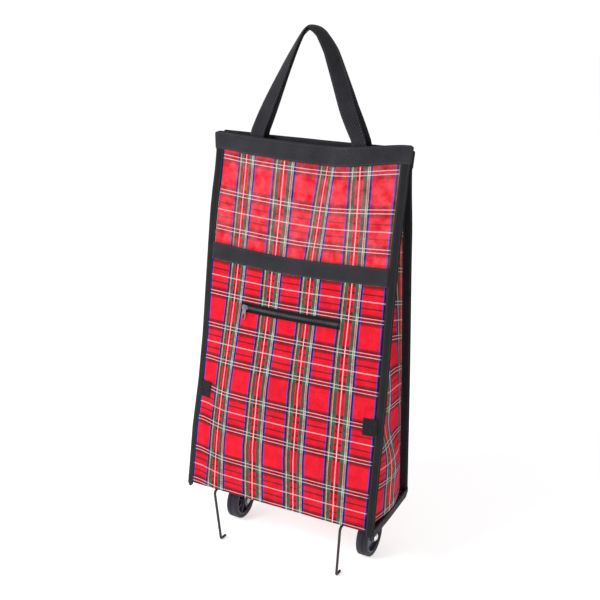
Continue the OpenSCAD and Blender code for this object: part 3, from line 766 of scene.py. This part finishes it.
# slider: a tapered body, an arched crown and the pull tab on it
SLIDER_X = -0.0748
seat = Matrix.Translation(wall(-1, SLIDER_X, ZIP_V, 0.0)) @ Matrix.Rotation(-LEAN, 4, "X")
slider = bmesh.new()
for low, high in ((0.0011, 0.0024), (-0.0019, -0.0009)):
    plate = bmesh.new()
    bmesh.ops.create_circle(plate, cap_ends=True, segments=20, radius=1.0)
    for v in plate.verts:
        wide = 0.0044 if v.co.x < 0 else 0.0034
        v.co = Vector((math.copysign(abs(v.co.x) ** 0.8, v.co.x) * 0.005, -low,
                       math.copysign(abs(v.co.y) ** 0.6, v.co.y) * wide))
    raised = bmesh.ops.extrude_face_region(plate, geom=plate.faces[:])
    bmesh.ops.translate(plate, vec=(0, low - high, 0),
                        verts=[g for g in raised["geom"] if isinstance(g, bmesh.types.BMVert)])
    bmesh.ops.recalc_face_normals(plate, faces=plate.faces)
    bmesh.ops.bevel(plate, geom=[e for e in plate.edges if e.calc_face_angle(0) > 1.2],
                    offset=0.0003, offset_type="OFFSET", segments=2, profile=0.5, affect="EDGES",
                    material=-1)
    bmesh.ops.transform(plate, matrix=seat, verts=plate.verts)
    merge(slider, plate)
block(slider, (-0.0048, -0.0012, -0.0009), (-0.003, 0.0016, 0.0009), 0.0003, turn=seat)


def crown(t, a, o):
    angle = math.pi * (0.04 + 0.92 * t)
    reach = Vector((0.0033 * math.cos(angle), -0.0022 - 0.0019 * math.sin(angle) - o, a))
    return seat @ reach


strip("", outline(0.0026, 0.0008), 14, crown, 0.01, None, None, bm=slider)
keep("zip_slider_body", slider, slider_metal, "zip_slider", ("zip_slider",))

tab = bmesh.new()
tab_seat = seat @ Matrix.Translation((0, -0.0036, 0)) @ Matrix.Rotation(math.radians(5), 4, "Y")
rings = []
for radius, top, bottom, tip in ((0.0030, 0.0026, -0.0185, 0.0032), (0.0016, 0.0012, -0.0178, 0.0019)):
    ring = []
    for k in range(32):
        angle = 2 * math.pi * k / 32
        up = math.sin(angle) > 0
        r = radius if up else tip
        centre_z = (top - radius) if up else (bottom + tip)
        if radius < 0.002:
            centre_z = -0.0105 if up else (bottom + tip)
        ring.append(tab.verts.new((r * math.cos(angle), 0, centre_z + r * math.sin(angle))))
    rings.append([tab.edges.new((ring[k], ring[(k + 1) % 32])) for k in range(32)])
bmesh.ops.bridge_loops(tab, edges=rings[0] + rings[1])
bmesh.ops.recalc_face_normals(tab, faces=tab.faces)
bmesh.ops.solidify(tab, geom=tab.faces[:], thickness=0.0013)
bmesh.ops.recalc_face_normals(tab, faces=tab.faces)
bmesh.ops.bevel(tab, geom=[e for e in tab.edges if e.calc_face_angle(0) > 1.2], offset=0.00035,
                offset_type="OFFSET", segments=2, profile=0.5, affect="EDGES", material=-1)
bmesh.ops.transform(tab, matrix=tab_seat, verts=tab.verts)
keep("zip_pull_tab", tab, slider_metal, "zip_pull", ("zip_pull",))

# ---------- handles ----------


def loop_point(t, y0, lower):
    """The middle of a handle's webbing: t from -1 to 1 over the top."""
    a = abs(t)
    x = math.copysign((HANDLE_X - lower * (1 - a)) * a ** 1.25, t)
    top = TOP_Z + HANDLE_RISE - WEB_T / 2 - lower
    k = (top - HINGE_Z + 0.002) / (math.hypot(HANDLE_X, HANDLE_ROUND) - HANDLE_ROUND)
    share = a ** 1.2
    shift = 0.004 * (1 - a) ** 2
    if t > 0:
        shift = between(a, ((0, 0.004), (0.1, 0.0062), (0.22, 0.0088), (0.4, 0.0092), (0.6, 0.0045),
                            (0.8, 0.0004), (1.0, 0.0)))
    return Vector((x + shift + HANDLE_SHIFT * (1 - a * a),
                   math.copysign(LOOP_GAP / 2, y0) * (1 - share) + y0 * share,
                   top - k * (math.hypot(x, HANDLE_ROUND) - HANDLE_ROUND)))


def handle(name, face_side, y0, lower, nodes):
    """Webbing sewn inside the mouth, up over the top and down again."""
    sewn = 0.023

    def centre(t):
        """t from -1.12 to 1.12; past 1 it runs down the inside of the wall."""
        if abs(t) <= 1:
            point = loop_point(t, y0, lower)
            root = inner(math.copysign(HANDLE_X, t), PANEL + 0.002)
            ease = smooth((abs(t) - 0.55) / 0.45)
            return point + Vector((0, (root.y - point.y) * ease, 0))
        return inner(math.copysign(HANDLE_X, t), PANEL + 0.002 - (abs(t) - 1) / 0.12 * (sewn + 0.002))

    def inner(x, v):
        depth = -0.0037 if face_side < 0 else -0.0026
        point = wall(face_side, x, min(v, PANEL), depth)
        return point + Vector((0, 0, max(0.0, v - PANEL)))

    def where(t, a, o):
        t = (2 * t - 1) * 1.12
        here = centre(t)
        run = (centre(t + 0.015) - centre(t - 0.015)).normalized()
        if abs(t) <= 1:
            turn = math.radians(90 * (1 - abs(t)))
            square = abs(t) ** 6
        else:
            turn, square = 0.0, 1.0
        out = Vector((-run.z, 0, run.x)) * (1 - square) + Vector((math.copysign(1, t), 0, 0)) * square
        wide = (out.normalized() * math.cos(turn) + Vector((0, 1, 0)) * math.sin(turn)).normalized()
        thick = run.cross(wide).normalized()
        cup = 0.0022 * (1 - abs(t) ** 2) * ((a / 0.011) ** 2) if abs(t) < 1 else 0.0
        return here + wide * a + thick * (o - cup)

    piece = strip(name, outline(HANDLE_W, WEB_T, flat=6), 150, where, 0.40, handle_web,
                  None, nodes)
    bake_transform(piece)
    return piece


handle("handle_strap_front", -1, -0.0041, 0.0, ("handle_front", "handle_ends_front"))
handle("handle_strap_back", 1, 0.0057, LOOP_GAP, ("handle_back", "handle_ends_back"))

# ---------- floor, light and camera ----------

bpy.ops.mesh.primitive_plane_add(size=30.0, location=(0, 0, -0.0004))
floor = bpy.context.object
floor.name = "floor"
pale = Paint("pale floor", Roughness=0.9, Specular_IOR_Level=0.0, Emission_Strength=0.6,
             Emission_Color=(1.0, 1.0, 1.0, 1.0))
floor.data.materials.append(pale.finish((0.8, 0.8, 0.8, 1.0)))

scene = bpy.context.scene
scene.view_settings.view_transform = "Standard"
world = bpy.data.worlds.new("studio")
scene.world = world
world.use_nodes = True
world.node_tree.nodes["Background"].inputs[0].default_value = (1.0, 1.0, 1.0, 1.0)
world.node_tree.nodes["Background"].inputs[1].default_value = 0.62
ray = world.node_tree.nodes.new("ShaderNodeLightPath")
seen = world.node_tree.nodes.new("ShaderNodeMath")
seen.operation = "MULTIPLY_ADD"
seen.inputs[1].default_value, seen.inputs[2].default_value = 0.55, 0.5
world.node_tree.links.new(ray.outputs["Is Camera Ray"], seen.inputs[0])
world.node_tree.links.new(seen.outputs[0], world.node_tree.nodes["Background"].inputs[1])


def softbox(name, place, aim, size, power):
    """A square light pointing at a spot."""
    light = bpy.data.lights.new(name, "AREA")
    light.shape, light.size, light.energy = "SQUARE", size, power
    lamp = bpy.data.objects.new(name, light)
    scene.collection.objects.link(lamp)
    lamp.location = place
    lamp.rotation_euler = (Vector(aim) - Vector(place)).to_track_quat("-Z", "Y").to_euler()


softbox("key softbox", (-1.4, -2.3, 2.1), (0, 0, 0.35), 1.0, 66.0)
softbox("right softbox", (2.6, -1.6, 0.7), (0, 0, 0.1), 1.0, 9.0)

lens = bpy.data.cameras.new("camera")
lens.sensor_width, lens.lens = 36.0, 57.9
camera = bpy.data.objects.new("camera", lens)
scene.collection.objects.link(camera)
right, up = Vector((0.8874, 0.4604, 0.0251)), Vector((-0.1619, 0.2602, 0.9519))
turned = Matrix((right, up, right.cross(up))).transposed().to_4x4()
camera.matrix_world = Matrix.Translation((0.5965, -1.1902, 0.8185)) @ turned
scene.camera = camera
